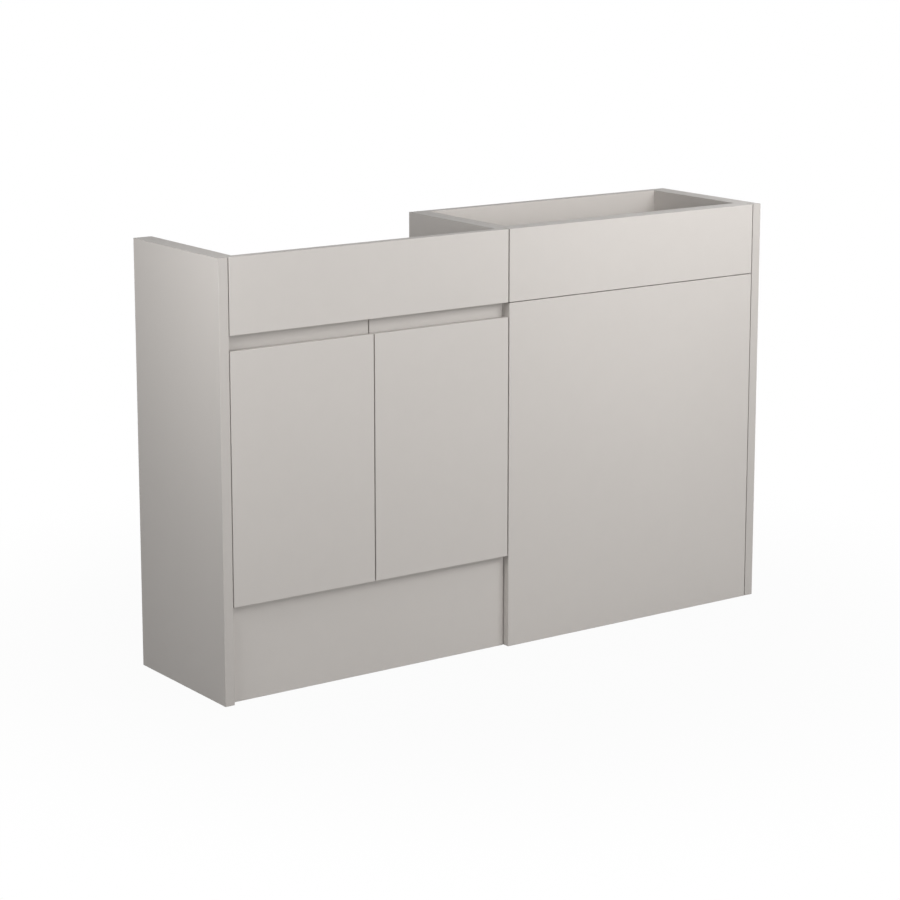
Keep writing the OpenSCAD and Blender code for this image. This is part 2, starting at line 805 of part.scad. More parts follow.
// A channel with its open side toward the carcass, and the pin's bore at its nose
module hinge_arms() {
    for (z = hinge_zs)
        difference() {
            union() {
                for (s = [-1, 1])
                    translate([0, 0, z + s * (arm_half + arm_t / 2) - arm_t / 2])
                        union() {
                            board(arm_x0, arm_x1, arm_pin[1], arm_y1, 0, arm_t);
                            bar_z([arm_pin[0], arm_pin[1], 0], arm_x1 - arm_pin[0], arm_t);
                        }
                board(arm_x1 - arm_t, arm_x1, arm_pin[1], arm_y1, z - arm_half, z + arm_half);
            }
            board(arm_x0 - 1, arm_pin[0] - eye_r - arm_t, arm_pin[1] - 2 * eye_r, plate_y0,
                z - 2 * arm_half, z + 2 * arm_half);
            bar_z([arm_pin[0], arm_pin[1], z - arm_half - arm_t - 1], pin_r + pin_fit,
                2 * (arm_half + arm_t + 1));
            for (y = [plate_y0 + 3.5 * head_r, plate_y1 - 3 * head_r])
                bar_x([arm_x1 - 2 * arm_t, y, z], head_r * 0.75, 3 * arm_t);
        }
}
module left_hinge_arms() {
    color(steel_col) at_left() hinge_arms();
}
module right_hinge_arms() {
    color(steel_col) at_right() hinge_arms();
}
module pins_at(p, half) {
    for (z = hinge_zs)
        bar_z([p[0], p[1], z - half], pin_r, 2 * half);
}
module hinge_arm_pins() {
    half = arm_half + arm_t;
    color(steel_col) {
        at_left() pins_at(arm_pin, half);
        at_right() pins_at(arm_pin, half);
    }
}
// Outline of the bent link: a flat strip through its three points, with a mitred bend
function side_of(a, b) = [a[1] - b[1], b[0] - a[0]] / norm(b - a);
side_1 = side_of(arm_pin, link_bend);
side_2 = side_of(link_bend, cup_pin);
mitre = (side_1 + side_2) / (1 + side_1 * side_2);
half_t = link_t / 2;
link_outline = [arm_pin + half_t * side_1, link_bend + half_t * mitre, cup_pin + half_t * side_2,
    cup_pin - half_t * side_2, link_bend - half_t * mitre, arm_pin - half_t * side_1];
module hinge_links() {
    for (z = hinge_zs)
        translate([0, 0, z - link_w / 2])
            difference() {
                union() {
                    linear_extrude(height = link_w)
                        polygon(link_outline);
                    bar_z([arm_pin[0], arm_pin[1], 0], eye_r, link_w);
                    bar_z([cup_pin[0], cup_pin[1], 0], pin_r + cup_eye_wall, link_w);
                }
                for (p = [arm_pin, cup_pin])
                    bar_z([p[0], p[1], -1], pin_r + pin_fit, link_w + 2);
            }
}
module left_hinge_links() {
    color(steel_col) at_left() hinge_links();
}
module right_hinge_links() {
    color(steel_col) at_right() hinge_links();
}
strip_screw_xs = [for (i = [0:3]) door_w * (0.08 + 0.28 * i)];
strip_screw_z = strip_z + 2.5 * head_r;
bumper_xs = [bumper_in, door_w - bumper_in];
bumper_r = head_r;
bumper_h = standoff * 0.8;
module door_panel() {
    difference() {
        board(0, door_w, 0, front_t, door_z, door_top);
        board(-1, door_w + 1, front_t - groove_w, front_t + 1, door_top - groove_d, door_top + 1);
        for (z = hinge_zs) {
            bar_y([cup_x, front_t - cup_depth, z], cup_d / 2, cup_depth + 1);
            for (s = [-1, 1])
                hole_y([cup_screw_x, front_t - bite, z + s * cup_screw_z], bite + 1);
        }
        for (x = strip_screw_xs)
            hole_y([x, front_t - bite, strip_screw_z], bite + 1);
    }
}
module finger_strip() {
    difference() {
        board(0, door_w, front_t, front_t + strip_t, strip_z, strip_top);
        for (x = strip_screw_xs)
            hole_y([x, front_t - 1, strip_screw_z], strip_t + 2);
    }
}
module hinge_cups() {
    for (z = hinge_zs)
        difference() {
            union() {
                bar_y([cup_x, front_t - cup_depth, z], cup_d / 2 - screw_fit, cup_depth);
                board(cup_x - flange_w / 2, cup_x + flange_w / 2, front_t, front_t + flange_t,
                    z - flange_h / 2, z + flange_h / 2);
                bar_y([cup_x, front_t, z], cup_d / 2 + cup_wall, flange_t);
            }
            bar_z([cup_pin[0], cup_pin[1], z - cup_pin_half - pin_fit], pin_r + pin_fit,
                2 * (cup_pin_half + pin_fit));
            bar_y([cup_x, front_t - cup_depth + cup_wall, z], cup_d / 2 - cup_wall, cup_depth + 2);
            for (s = [-1, 1])
                hole_y([cup_screw_x, front_t - 1, z + s * cup_screw_z], flange_t + 2);
        }
}
module cup_pins() {
    pins_at(cup_pin, cup_pin_half);
}
module door_screws() {
    for (z = hinge_zs, s = [-1, 1])
        screw_along([cup_screw_x, front_t + flange_t, z + s * cup_screw_z], "-y", bite);
    for (x = strip_screw_xs)
        screw_along([x, front_t + strip_t, strip_screw_z], "-y", strip_t + bite - tip_gap);
}
module door_bumpers() {
    for (x = bumper_xs)
        bar_y([x, front_t, door_z + board_t / 2], bumper_r, bumper_h);
}
module left_door_panel() {
    color(panel_col) at_left() door_panel();
}
module left_finger_strip() {
    color(panel_col) at_left() finger_strip();
}
module left_hinge_cups() {
    color(steel_col) at_left() hinge_cups();
}
module left_cup_pins() {
    color(steel_col) at_left() cup_pins();
}
module left_door_screws() {
    color(steel_col) at_left() door_screws();
}
module left_door_bumpers() {
    color(plastic_col) at_left() door_bumpers();
}
module right_door_panel() {
    color(panel_col) at_right() door_panel();
}
module right_finger_strip() {
    color(panel_col) at_right() finger_strip();
}
module right_hinge_cups() {
    color(steel_col) at_right() hinge_cups();
}
module right_cup_pins() {
    color(steel_col) at_right() cup_pins();
}
module right_door_screws() {
    color(steel_col) at_right() door_screws();
}
module right_door_bumpers() {
    color(plastic_col) at_right() door_bumpers();
}

left_end_panel();
right_end_panel();
basin_side_left();
basin_side_right();
basin_base_panel();
basin_front_rail();
basin_rear_rail();
basin_back_panel();
basin_fascia();
fascia_screws();
wc_side_left();
wc_side_right();
wc_front_top_rail();
wc_mid_rail();
wc_bottom_rail();
wc_rear_top_rail();
wc_rear_lower_rail();
wc_front_panel();
wc_panel_screws();
panel_clip_sockets();
leg_sockets();
leg_socket_screws();
unit_connector_bolts();
end_panel_screws();
cam_locks();
cam_bolts();
wall_brackets();
bracket_screws();
left_hinge_plates();
right_hinge_plates();
hinge_plate_screws();
left_hinge_arms();
right_hinge_arms();
hinge_arm_pins();
left_hinge_links();
right_hinge_links();
left_door_panel();
left_finger_strip();
left_hinge_cups();
left_cup_pins();
left_door_screws();
left_door_bumpers();
right_door_panel();
right_finger_strip();
right_hinge_cups();
right_cup_pins();
right_door_screws();
right_door_bumpers();
wc_access_panel();
panel_clip_studs();
plinth_board();
plinth_clips();
foot_front_left();
foot_front_right();
foot_rear_left();
foot_rear_right();
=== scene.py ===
"""Finishes the fitted bathroom run for rendering: boards with rounded arrises and edge bands, the
hinges, legs and fixings with their finishes, and a pale studio round them. Metres; X runs to the
right, Y into the wall, Z up, and the floor is at 0."""

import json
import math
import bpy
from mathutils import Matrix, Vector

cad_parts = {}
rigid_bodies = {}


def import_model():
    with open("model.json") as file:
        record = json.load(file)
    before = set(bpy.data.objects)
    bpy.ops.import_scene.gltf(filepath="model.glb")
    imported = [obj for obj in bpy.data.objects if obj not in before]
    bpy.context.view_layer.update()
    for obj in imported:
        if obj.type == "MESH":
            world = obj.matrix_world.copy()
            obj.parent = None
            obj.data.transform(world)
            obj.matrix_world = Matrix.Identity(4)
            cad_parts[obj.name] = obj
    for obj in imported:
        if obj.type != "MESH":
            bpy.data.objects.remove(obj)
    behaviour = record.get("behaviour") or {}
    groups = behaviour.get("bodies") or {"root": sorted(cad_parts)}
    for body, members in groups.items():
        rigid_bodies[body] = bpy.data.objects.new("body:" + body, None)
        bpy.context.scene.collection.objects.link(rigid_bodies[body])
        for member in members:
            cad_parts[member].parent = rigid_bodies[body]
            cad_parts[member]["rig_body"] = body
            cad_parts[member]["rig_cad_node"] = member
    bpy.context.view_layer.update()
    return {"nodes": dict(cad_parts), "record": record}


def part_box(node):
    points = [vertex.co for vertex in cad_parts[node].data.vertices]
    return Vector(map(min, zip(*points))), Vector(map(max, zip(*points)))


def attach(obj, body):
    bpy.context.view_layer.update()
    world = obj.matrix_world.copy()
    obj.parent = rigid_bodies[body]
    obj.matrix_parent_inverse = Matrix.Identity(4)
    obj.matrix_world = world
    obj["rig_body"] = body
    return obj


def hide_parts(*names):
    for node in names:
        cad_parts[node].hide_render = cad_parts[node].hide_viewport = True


bl_info = {
    "name": "Fitted bathroom run",
    "version": (1, 0, 0),
    "blender": (4, 5, 0),
    "location": "View3D > Sidebar > Bathroom run",
    "description": "Boards, hinges, legs and fixings of a basin unit and a WC unit, with a studio",
    "category": "Object",
}

import bmesh
import bpy
from mathutils import Matrix, Vector

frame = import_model()
MM = 0.001
SIDES = ("left", "right")
BODY_OF = {
    node: body
    for body, nodes in frame["record"]["behaviour"]["bodies"].items()
    for node in nodes
}
SLOT_OF = {part["node"]: part["material_slot"] for part in frame["record"]["subparts"]}


def nodes_in(slot):
    """The CAD nodes that take their finish from one of the record's slots, in its order."""
    return [node for node, name in SLOT_OF.items() if name == slot]


# ---- Sizes and colours that a user would change ----


def length(name, text, value):
    """A size in metres."""
    return bpy.props.FloatProperty(
        name=name, description=text, default=value, unit="LENGTH", precision=5
    )


def angle(name, text, degrees):
    """An angle, kept in radians."""
    return bpy.props.FloatProperty(
        name=name, description=text, default=math.radians(degrees), subtype="ANGLE"
    )


def power(name, text, value):
    """A lamp's power in watts."""
    return bpy.props.FloatProperty(
        name=name, description=text, default=value, min=0.0, unit="POWER"
    )


def share(name, text, value):
    """A number from 0 to 1."""
    return bpy.props.FloatProperty(
        name=name, description=text, default=value, min=0.0, max=1.0, subtype="FACTOR"
    )


def tint(name, text, value):
    """A colour, in linear light."""
    return bpy.props.FloatVectorProperty(
        name=name, description=text, default=value, size=3, min=0.0, max=1.0, subtype="COLOR"
    )


class RunShapes(bpy.types.PropertyGroup):
    """How finely the pieces are worked."""

    arris: length("Arris", "Rounding of the boards' edges", 0.5 * MM)
    press_edge: length("Pressed edge", "Rounding of the pressed steel parts", 0.22 * MM)
    mould_edge: length("Moulded edge", "Rounding of the plastic parts", 0.5 * MM)
    thread_pitch: length("Thread pitch", "Distance between the threads of a foot", 3.0 * MM)
    thread_depth: length("Thread depth", "Depth of the threads of a foot", 1.0 * MM)
    pad_ribs: bpy.props.IntProperty(
        name="Foot ribs", description="Number of ribs on a foot's pad", default=12, min=3, max=24
    )


class RunFinishes(bpy.types.PropertyGroup):
    """Colours and surface detail of the run's materials."""

    board: tint("Board", "Matt foil on every face", (0.569, 0.539, 0.511))
    # The edge band's colour also covers the finger strips whole, where its darkness is painted
    # shade for their recess
    band: tint("Edge band", "Edging of the boards", (0.524, 0.496, 0.470))
    core: tint("Core", "Chipboard inside the boards", (0.46, 0.33, 0.20))
    steel: tint("Zinc plate", "Hinges, screws and brackets", (0.57, 0.57, 0.58))
    plastic: tint("Plastic", "Feet, sockets and clips", (0.055, 0.056, 0.060))
    foil_grain: length("Foil grain", "Size of the foil's fine grain", 0.9 * MM)
    board_roughness: share("Board roughness", "Roughness of the foil", 0.52)
    steel_roughness: share("Steel roughness", "Roughness of the zinc plate", 0.32)
    plastic_roughness: share("Plastic roughness", "Roughness of the moulded parts", 0.46)


class RunStudio(bpy.types.PropertyGroup):
    """Camera, lamps and floor."""

    camera_place: bpy.props.FloatVectorProperty(
        name="Camera",
        description="Where the camera stands",
        default=(-2.8198, -3.9361, 1.4685),
        size=3,
        subtype="TRANSLATION",
    )
    camera_yaw: angle("Yaw", "How far the camera looks to the right of the wall's normal", 35.353)
    camera_pitch: angle("Pitch", "How far the camera looks down", 10.962)
    camera_lens: bpy.props.FloatProperty(
        name="Lens", description="Focal length on a 36 mm sensor", default=103.46, unit="CAMERA"
    )
    camera_rise: bpy.props.FloatProperty(
        name="Rise", description="Vertical lens shift, as a share of the picture", default=-0.1
    )
    fill_power: power("Fill", "Power of the broad lamp at the left in front", 34.2)
    key_power: power("Key", "Power of the lamp above and before the WC unit", 18.5)
    side_power: power("Side", "Power of the lamp at the left end", 7.3)
    right_power: power("Right", "Power of the lamp at the right end, above the run", 15.0)
    rear_power: power("Rear", "Power of the low lamp behind the run", 26.0)
    room_light: share("Room light", "Brightness of the light from all round", 0.12)
    floor_colour: tint("Floor", "Colour that the floor bounces", (0.3, 0.3, 0.3))
    floor_size: length("Floor size", "Radius of the floor", 9.0)


GROUPS = {"run_shapes": RunShapes, "run_finishes": RunFinishes, "run_studio": RunStudio}

# ---- Working in edit mode ----

# Places nearer than this are the same, and corners nearer than this are doubles
SAME_PLACE = 0.01 * MM
DOUBLE = 0.002 * MM
# Faces that turn by less than this are one flat face
FLAT_TURN = math.radians(0.2)
# A normal points along an axis where this much of it does
SQUARE = 0.9995
# Arrises of boards: shorter edges stay sharp, and the rounding has this many steps
LEAST_ARRIS = 4 * MM
ARRIS_STEPS = 3
# Sheet and moulded parts: edges that turn more are softened, in this many steps
SHARP_TURN = math.radians(40)
SOFT_STEPS = 2
# Faces that turn by less than this are shaded as one curve
SMOOTH_TURN = math.radians(35)


def only(*objects):
    """Selects these objects and nothing else."""
    if bpy.context.object and bpy.context.object.mode != "OBJECT":
        bpy.ops.object.mode_set(mode="OBJECT")
    bpy.ops.object.select_all(action="DESELECT")
    for obj in objects:
        obj.select_set(True)
    if objects:
        bpy.context.view_layer.objects.active = objects[-1]


class Editing:
    """Edit mode on one piece, with its bmesh."""

    def __init__(self, piece):
        self.piece = piece

    def __enter__(self):
        only(self.piece)
        bpy.ops.object.mode_set(mode="EDIT")
        return self

    def __exit__(self, *problem):
        bpy.ops.object.mode_set(mode="OBJECT")

    def pick(self, kind, test):
        """Selects the vertices, edges or faces that pass a test, and counts them."""
        modes = {"verts": "VERT", "edges": "EDGE", "faces": "FACE"}
        bpy.ops.mesh.select_mode(type=modes[kind])
        bpy.ops.mesh.select_all(action="DESELECT")
        bm = bmesh.from_edit_mesh(self.piece.data)
        bm.normal_update()
        found = [item for item in getattr(bm, kind) if test(item)]
        for item in found:
            item.select_set(True)
        bm.select_flush_mode()
        bmesh.update_edit_mesh(self.piece.data)
        return len(found)


def shape_box(piece):
    """Lowest and highest corner of a piece's mesh."""
    places = [v.co for v in piece.data.vertices]
    low = Vector([min(p[i] for p in places) for i in range(3)])
    high = Vector([max(p[i] for p in places) for i in range(3)])
    return low, high


def along_axis(normal):
    """The axis that a normal points along, or None."""
    for i in range(3):
        if abs(normal[i]) > SQUARE:
            return i
    return None


def merged_copy(node, name):
    """A copy of a CAD node as one clean mesh: doubles merged, flat faces joined."""
    only(frame["nodes"][node])
    bpy.ops.object.duplicate()
    piece = bpy.context.active_object
    bpy.ops.object.parent_clear(type="CLEAR_KEEP_TRANSFORM")
    piece.name = name
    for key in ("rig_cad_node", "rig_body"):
        if key in piece:
            del piece[key]
    with Editing(piece):
        bpy.ops.mesh.select_all(action="SELECT")
        bpy.ops.mesh.remove_doubles(threshold=DOUBLE)
        bpy.ops.mesh.dissolve_limited(angle_limit=FLAT_TURN)
    return piece


def smoothed(piece):
    """Shades a piece smooth, but for its sharp edges."""
    only(piece)
    bpy.ops.object.shade_smooth_by_angle(angle=SMOOTH_TURN)
    return piece


def settle(piece, node, material=None):
    """Gives a finished piece its body and hides the node that it stands for, and gives it its
    material unless it already has its own."""
    if material:
        piece.data.materials.clear()
        piece.data.materials.append(material)
    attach(piece, BODY_OF[node])
    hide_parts(node)


def round_arrises(piece, width):
    """Bevels a board's long outer edges where two faces meet squarely, in the edge band."""

    def is_arris(edge):
        if len(edge.link_faces) != 2 or not edge.is_convex or edge.calc_length() < LEAST_ARRIS:
            return False
        axes = {along_axis(face.normal) for face in edge.link_faces}
        return len(axes) == 2 and None not in axes

    with Editing(piece) as work:
        if not work.pick("edges", is_arris):
            raise RuntimeError(f"{piece.name} has no arris to round")
        bpy.ops.mesh.bevel(
            offset=width,
            segments=ARRIS_STEPS,
            profile=0.5,
            affect="EDGES",
            material=BAND,
            loop_slide=False,
        )


def soften(piece, width):
    """Bevels every outer edge that turns sharply."""

    def is_sharp(edge):
        return (
            len(edge.link_faces) == 2
            and edge.is_convex
            and edge.calc_face_angle(0.0) > SHARP_TURN
        )

    with Editing(piece) as work:
        if not work.pick("edges", is_sharp):
            raise RuntimeError(f"{piece.name} has no sharp edge to soften")
        bpy.ops.mesh.bevel(offset=width, segments=SOFT_STEPS, profile=0.5, affect="EDGES")
    smoothed(piece)


def paint_faces(piece, index, test):
    """Gives one of a piece's materials to the faces that pass a test."""
    with Editing(piece) as work:
        if work.pick("faces", test):
            piece.active_material_index = index
            bpy.ops.object.material_slot_assign()


# ---- Materials ----

WHITE = (1.0, 1.0, 1.0, 1.0)
# Patterns, as the number of their grains or clouds in a metre
FOIL_DRIFT = 2.3
FOIL_CLOUDS = 31.0
CHIP_FLAKES = 430.0
CHIP_DUST = 1500.0
ZINC_CLOUDS = 140.0
ZINC_MARKS = 900.0
MOULD_GRAIN = 1300.0
MOULD_CLOUDS = 60.0
# An edge band's grain is finer than the foil's by this factor
BAND_GRAIN = 1.6


class Tree:
    """The nodes of a material or of the world."""

    def __init__(self, owner):
        owner.use_nodes = True
        self.nodes = owner.node_tree.nodes
        self.links = owner.node_tree.links

    def add(self, kind, **settings):
        """A new node with these settings."""
        node = self.nodes.new(kind)
        for name, value in settings.items():
            setattr(node, name, value)
        return node

    def join(self, start, node, socket):
        """A link from an output to one of a node's sockets."""
        self.links.new(start, node.inputs[socket])

    def span(self, value, low, high, from_low=0.3, from_high=0.7, kind="LINEAR"):
        """A value spread from low to high. A pattern's own lies mostly from 0.3 to 0.7."""
        node = self.add("ShaderNodeMapRange", interpolation_type=kind)
        for socket, number in zip(
            ("From Min", "From Max", "To Min", "To Max"), (from_low, from_high, low, high)
        ):
            node.inputs[socket].default_value = number
        self.join(value, node, "Value")
        return node.outputs["Result"]

    def math(self, kind, first, second):
        """Two values, or a value and a number, worked into one."""
        node = self.add("ShaderNodeMath", operation=kind)
        for socket, value in enumerate((first, second)):
            if isinstance(value, (int, float)):
                node.inputs[socket].default_value = value
            else:
                self.join(value, node, socket)
        return node.outputs["Value"]


class Finish(Tree):
    """A material of the run: patterns that lead to its shader's colour, sheen and relief."""

    def __init__(self, name):
        self.material = bpy.data.materials.new(name)
        super().__init__(self.material)
        self.shader = self.nodes["Principled BSDF"]
        self.place = self.add("ShaderNodeTexCoord").outputs["Object"]

    def noise(self, per_metre, detail=2.0, rough=0.5):
        """Soft clouds or a fine grain, from 0 to 1."""
        node = self.add("ShaderNodeTexNoise")
        node.inputs["Scale"].default_value = per_metre
        node.inputs["Detail"].default_value = detail
        node.inputs["Roughness"].default_value = rough
        self.join(self.place, node, "Vector")
        return node.outputs["Fac"]

    def cells(self, per_metre):
        """Flakes or spots: the distance to the middle of the nearest."""
        node = self.add("ShaderNodeTexVoronoi", feature="F1")
        node.inputs["Scale"].default_value = per_metre
        self.join(self.place, node, "Vector")
        return node.outputs["Distance"]

    def between(self, value, first, second):
        """A mix of two colours by a value."""
        node = self.add("ShaderNodeMix", data_type="RGBA")
        self.join(value, node, "Factor")
        node.inputs["A"].default_value = (*first, 1.0)
        node.inputs["B"].default_value = (*second, 1.0)
        return next(out for out in node.outputs if out.type == "RGBA")

    def colour(self, colour, tone):
        """The shader's colour: a colour, or a mix of two, times a tone near 1."""
        node = self.add("ShaderNodeVectorMath", operation="SCALE")
        if isinstance(colour, bpy.types.NodeSocket):
            self.join(colour, node, 0)
        else:
            node.inputs[0].default_value = colour
        self.join(tone, node, "Scale")
        self.join(node.outputs["Vector"], self.shader, "Base Color")

    def sheen(self, roughness, cloud, below, above, grain, swing):
        """The shader's roughness: from below to above it in the clouds, and a swing either way
        in the grain."""
        clouds = self.span(cloud, roughness - below, roughness + above)
        uneven = self.math("ADD", clouds, self.span(grain, -swing, swing))
        self.join(uneven, self.shader, "Roughness")

    def bump(self, height, depth, strength):
        """Relief of a depth in metres."""
        node = self.add("ShaderNodeBump")
        node.inputs["Distance"].default_value = depth
        node.inputs["Strength"].default_value = strength
        self.join(height, node, "Height")
        self.join(node.outputs["Normal"], self.shader, "Normal")

    def set(self, **numbers):
        """Plain numbers for the shader's own sockets."""
        for name, value in numbers.items():
            self.shader.inputs[name.replace("_", " ")].default_value = value


def foil_finish(name, colour, look, grain):
    """Matt foil pressed on board: a fine grain, a slow drift of tone, slightly uneven sheen."""
    tree = Finish(name)
    fine = tree.noise(grain / look.foil_grain, detail=3.0, rough=0.6)
    drift = tree.noise(FOIL_DRIFT)
    cloud = tree.noise(FOIL_CLOUDS, detail=3.0)
    tone = tree.math("ADD", tree.span(fine, -0.013, 0.013), tree.span(drift, 0.988, 1.012))
    tone = tree.math("ADD", tone, tree.span(cloud, -0.006, 0.006))
    tree.colour(colour, tone)
    tree.sheen(look.board_roughness, cloud, below=0.03, above=0.03, grain=fine, swing=0.04)
    tree.set(Specular_IOR_Level=0.38)
    tree.bump(fine, 0.06 * MM, 0.5)
    return tree.material


def chip_finish(look):
    """Chipboard where it is cut: pressed flakes of several browns."""
    tree = Finish("chipboard_core")
    flakes = tree.cells(CHIP_FLAKES)
    dust = tree.noise(CHIP_DUST, detail=3.0)
    fleck = tree.span(flakes, 0.0, 1.0, from_low=0.0, from_high=0.9)
    dark = tuple(0.45 * part for part in look.core)
    tone = tree.math("ADD", tree.span(dust, -0.18, 0.18), 1.0)
    tree.colour(tree.between(fleck, tuple(look.core), dark), tone)
    tree.set(Roughness=0.88, Specular_IOR_Level=0.2)
    tree.bump(flakes, 0.25 * MM, 0.7)
    return tree.material


def zinc_finish(look):
    """Bright zinc plate on pressed steel: a cloudy sheen with a faint, fine unevenness."""
    tree = Finish("zinc_plate")
    cloud = tree.noise(ZINC_CLOUDS, detail=3.0)
    marks = tree.noise(ZINC_MARKS)
    tone = tree.math("ADD", tree.span(cloud, 0.93, 1.05), tree.span(marks, -0.02, 0.02))
    tree.colour(tuple(look.steel), tone)
    tree.sheen(look.steel_roughness, cloud, below=0.06, above=0.08, grain=marks, swing=0.04)
    tree.set(Metallic=1.0)
    tree.bump(marks, 0.02 * MM, 0.35)
    return tree.material


def moulded_finish(look):
    """Satin moulded plastic with a spark-eroded grain."""
    tree = Finish("moulded_plastic")
    spots = tree.cells(MOULD_GRAIN)
    cloud = tree.noise(MOULD_CLOUDS)
    tone = tree.math("ADD", tree.span(cloud, 0.92, 1.08), tree.span(spots, -0.05, 0.05))
    tree.colour(tuple(look.plastic), tone)
    tree.sheen(look.plastic_roughness, cloud, below=0.04, above=0.05, grain=spots, swing=0.03)
    tree.set(Specular_IOR_Level=0.45)
    tree.bump(spots, 0.04 * MM, 0.6)
    return tree.material


def finish(name):
    """One of the run's materials, made the first time that it is asked for."""
    look = bpy.context.scene.run_finishes
    makers = {
        "board_foil": lambda: foil_finish(name, tuple(look.board), look, 1.0),
        # The edge band's foil, which also darkens the finger strips as painted shade for their
        # recess
        "edge_band": lambda: foil_finish(name, tuple(look.band), look, BAND_GRAIN),
        "chipboard_core": lambda: chip_finish(look),
        "zinc_plate": lambda: zinc_finish(look),
        "moulded_plastic": lambda: moulded_finish(look),
    }
    return bpy.data.materials.get(name) or makers[name]()


# ---- Boards ----

# Places of the edge band and the core among a board's materials, after the foil
BAND, CORE = 1, 2
# A flat face inside a board that is larger than this, in square metres, isn't a drilling
DRILLING = 4e-4


def board_piece(node, raw_rear=False, foil="board_foil"):
    """A board: its arrises rounded, its edges banded, its drillings showing the core, and its
    rear edge raw where it is."""
    shapes = bpy.context.scene.run_shapes
    piece = merged_copy(node, node + "_board")
    low, high = shape_box(piece)
    thin = min(range(3), key=lambda i: high[i] - low[i])
    piece.data.materials.clear()
    for name in (foil, "edge_band", "chipboard_core"):
        piece.data.materials.append(finish(name))

    def on_outside(face, axis):
        place = face.calc_center_median()[axis]
        return min(abs(place - low[axis]), abs(place - high[axis])) < SAME_PLACE

    def is_core(face):
        axis = along_axis(face.normal)
        if axis is None:
            return True
        if raw_rear and axis == 1 and face.normal.y > 0 and on_outside(face, 1):
            return True
        return not on_outside(face, axis) and face.calc_area() < DRILLING

    def is_band(face):
        axis = along_axis(face.normal)
        return axis is not None and axis != thin and not is_core(face)

    paint_faces(piece, CORE, is_core)
    paint_faces(piece, BAND, is_band)
    round_arrises(piece, shapes.arris)
    with Editing(piece) as work:
        if work.pick("faces", lambda face: along_axis(face.normal) is None):
            bpy.ops.mesh.faces_shade_smooth()
    settle(piece, node)


# ---- Turned and moulded pieces ----

# A foot from the floor up, in millimetres: (distance from the pad's outer radius, height), then
# (distance from the stem's radius, height)
PAD_RINGS = (
    (-3.0, 0.0),
    (-1.6, 0.25),
    (-0.4, 1.2),
    (0.0, 2.4),
    (0.0, 5.8),
    (-0.6, 7.0),
    (-2.0, 7.8),
    (-3.5, 8.0),
)
COLLAR_RINGS = ((3.0, 8.0), (2.6, 8.6), (2.2, 14.0), (1.6, 14.8))
PAD_H = 8 * MM
STEM_R = 15 * MM
COLLAR_TOP = 15 * MM
THREAD_FROM = 16 * MM
THREAD_TO = 84 * MM
# A thread's crest lies this far inside the stem's radius, between these shares of its pitch, and
# the thread is back at the core at the last share
CREST_IN = 0.1 * MM
CREST_SPAN = (0.35, 0.55)
THREAD_END = 0.9
STEM_CHAMFER = 1.2 * MM
FOOT_STEPS = 56
# Ribs on a foot's pad, then gussets under a socket's flange: half the thickness, start and end
# (a rib's from the stem and from the pad's edge, a gusset's from the leg's middle), how far they
# reach into the pad or the flange, the height, and the height of the cut corner
RIB_HALF = 0.9 * MM
RIB_START = 2.0 * MM
RIB_END = 3.4 * MM
RIB_BITE = 0.6 * MM
RIB_H = 5.2 * MM
RIB_CUT = 4.6 * MM
RIB_EDGE = 0.25 * MM
GUSSETS = 4
GUSSET_HALF = 1.2 * MM
GUSSET_START = 17.6 * MM
GUSSET_END = 28.0 * MM
GUSSET_BITE = 0.4 * MM
GUSSET_H = 26 * MM
GUSSET_CUT = 19 * MM
SOCKET_FLANGE = 5 * MM


def turned(name, middle, rings):
    """A solid turned about a vertical line: rings are (radius, height), from its foot up."""
    only()
    x, y = middle
    radius, height = rings[0]
    bpy.ops.mesh.primitive_circle_add(
        vertices=FOOT_STEPS, radius=radius, fill_type="NGON", location=(x, y, height)
    )
    piece = bpy.context.active_object
    piece.name = name
    bpy.ops.object.transform_apply(location=True, rotation=True, scale=True)
    with Editing(piece):
        bpy.ops.mesh.select_mode(type="FACE")
        bpy.ops.mesh.select_all(action="SELECT")
        for next_radius, next_height in rings[1:]:
            bpy.ops.mesh.extrude_region_move(
                TRANSFORM_OT_translate={"value": (0, 0, next_height - height)}
            )
            part = next_radius / radius
            bpy.ops.transform.resize(
                value=(part, part, 1), center_override=(x, y, next_height)
            )
            radius, height = next_radius, next_height
        bpy.ops.mesh.select_all(action="SELECT")
        bpy.ops.mesh.normals_make_consistent(inside=False)
    return smoothed(piece)


def rib(name, low, high, slope):
    """An upright plate along +X, whose far edge is cut aslant: from above where slope is less
    than 0, and from below where it is more."""
    only()
    middle = [(a + b) / 2 for a, b in zip(low, high)]
    bpy.ops.mesh.primitive_cube_add(
        size=1.0, location=middle, scale=[b - a for a, b in zip(low, high)]
    )
    piece = bpy.context.active_object
    piece.name = name
    bpy.ops.object.transform_apply(location=True, rotation=True, scale=True)

    def at_cut(edge):
        return all(
            vert.co.x > middle[0] and (vert.co.z - middle[2]) * slope < 0 for vert in edge.verts
        )

    with Editing(piece) as work:
        work.pick("edges", at_cut)
        bpy.ops.transform.translate(value=(0, 0, slope))
        bpy.ops.mesh.select_all(action="SELECT")
        bpy.ops.mesh.bevel(offset=RIB_EDGE, segments=1, affect="EDGES")
    return piece


def round_copies(piece, centre, count):
    """Copies of a piece, set round a vertical line, with the piece itself as the first."""
    ring = [piece]
    middle = Vector((*centre, 0))
    for i in range(1, count):
        only(piece)
        bpy.ops.object.duplicate()
        copy = bpy.context.active_object
        turn = Matrix.Rotation(2 * math.pi * i / count, 4, "Z")
        copy.data.transform(Matrix.Translation(middle) @ turn @ Matrix.Translation(-middle))
        ring.append(copy)
    return ring


def joined(name, pieces):
    """Several pieces as one object."""
    only(*pieces)
    bpy.context.view_layer.objects.active = pieces[0]
    bpy.ops.object.join()
    piece = bpy.context.active_object
    piece.name = name
    return piece


